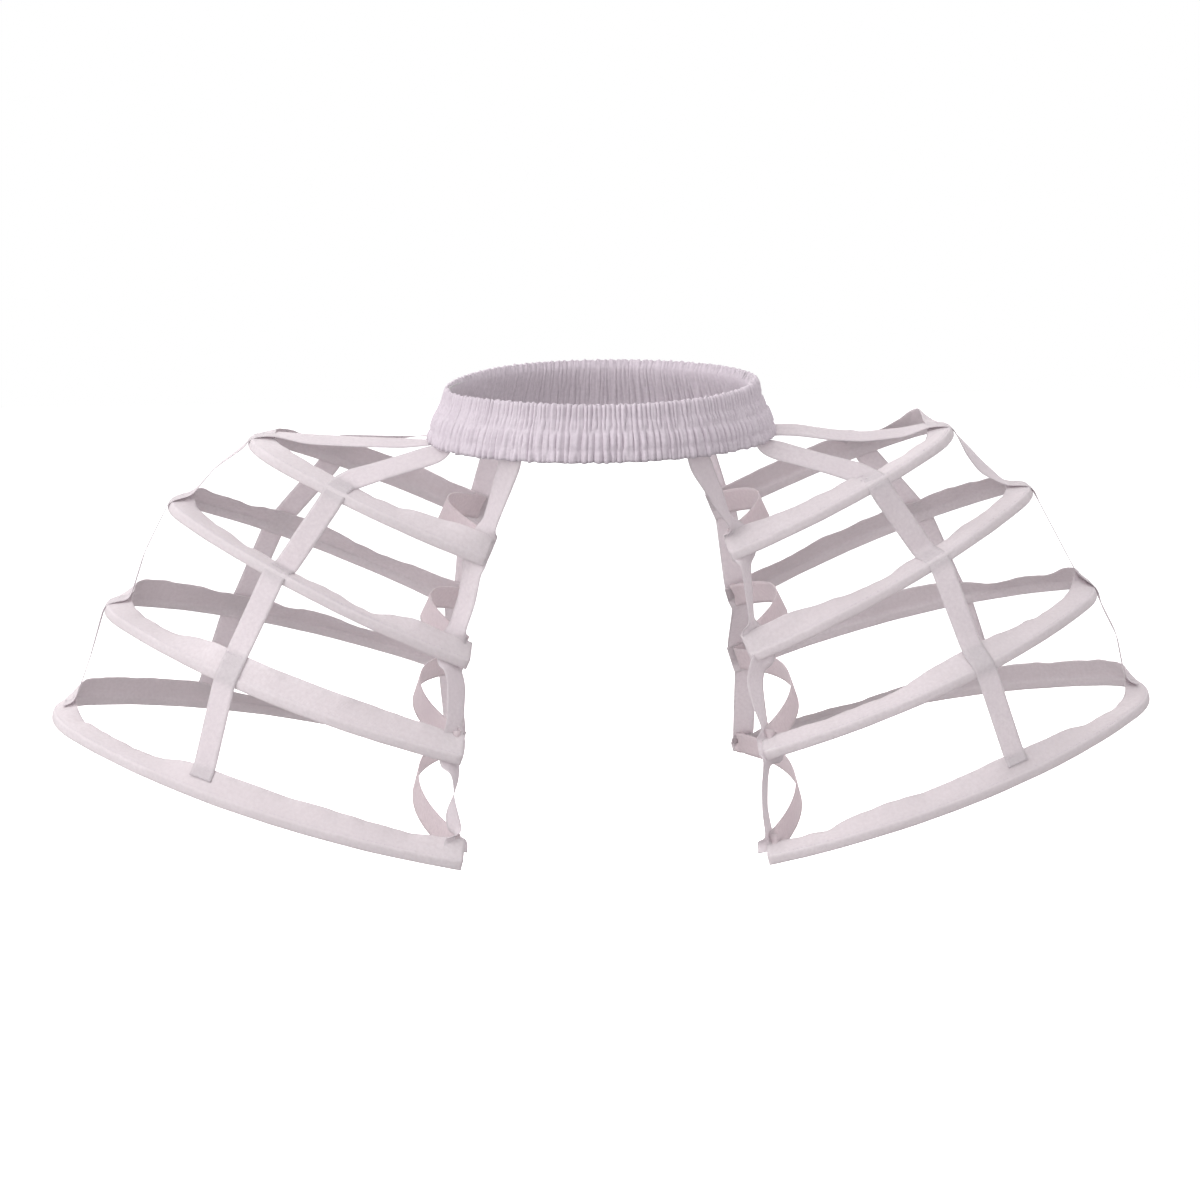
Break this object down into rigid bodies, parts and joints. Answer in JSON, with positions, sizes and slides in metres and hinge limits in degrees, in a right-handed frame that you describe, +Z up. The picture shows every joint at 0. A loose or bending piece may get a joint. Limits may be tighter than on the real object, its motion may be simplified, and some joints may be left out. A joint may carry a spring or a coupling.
{
  "type": "crinoline cage",
  "caption": "Side-hoop crinoline cage: a gathered elastic waistband carries cloth-covered hoops on tapes, which hold a skirt out over each hip.",
  "frame": {"origin": "centre of the waistband, half way up it, on the wearer's own axis", "axes": "+Z up, -Y to the front opening, +X to the wearer's left, across the widest way"},
  "size_m": [0.9474, 0.327, 0.3772],
  "materials": {
    "gathered_cotton": "shirred plain cotton, matte",
    "woven_elastic": "woven elastic, ribbed",
    "casing_cotton": "plain woven cotton, matte, lightly creased",
    "strap_cotton": "plain woven cotton, matte",
    "tape_cotton": "woven cotton tape, matte",
    "coated_bone": "white coated spring steel",
    "tip_plastic": "moulded white plastic"
  },
  "bodies": {
    "root": {"bone_tips": "tip_plastic", "hoop_1_bone_left": "coated_bone", "hoop_1_bone_right": "coated_bone", "hoop_1_casing_left": "casing_cotton", "hoop_1_casing_right": "casing_cotton", "hoop_1_strap_left": "strap_cotton", "hoop_1_strap_right": "strap_cotton", "hoop_2_bone_left": "coated_bone", "hoop_2_bone_right": "coated_bone", "hoop_2_casing_left": "casing_cotton", "hoop_2_casing_right": "casing_cotton", "hoop_2_strap_left": "strap_cotton", "hoop_2_strap_right": "strap_cotton", "hoop_3_bone_left": "coated_bone", "hoop_3_bone_right": "coated_bone", "hoop_3_casing_left": "casing_cotton", "hoop_3_casing_right": "casing_cotton", "hoop_3_strap_left": "strap_cotton", "hoop_3_strap_right": "strap_cotton", "hoop_4_bone_left": "coated_bone", "hoop_4_bone_right": "coated_bone", "hoop_4_casing_left": "casing_cotton", "hoop_4_casing_right": "casing_cotton", "hoop_4_strap_left": "strap_cotton", "hoop_4_strap_right": "strap_cotton", "tape_back_left": "tape_cotton", "tape_back_opening_left": "tape_cotton", "tape_back_opening_right": "tape_cotton", "tape_back_right": "tape_cotton", "tape_front_left": "tape_cotton", "tape_front_opening_left": "tape_cotton", "tape_front_opening_right": "tape_cotton", "tape_front_right": "tape_cotton", "tape_side_left": "tape_cotton", "tape_side_right": "tape_cotton", "waist_elastic": "woven_elastic", "waistband_casing": "gathered_cotton"}
  },
  "joints": []
}
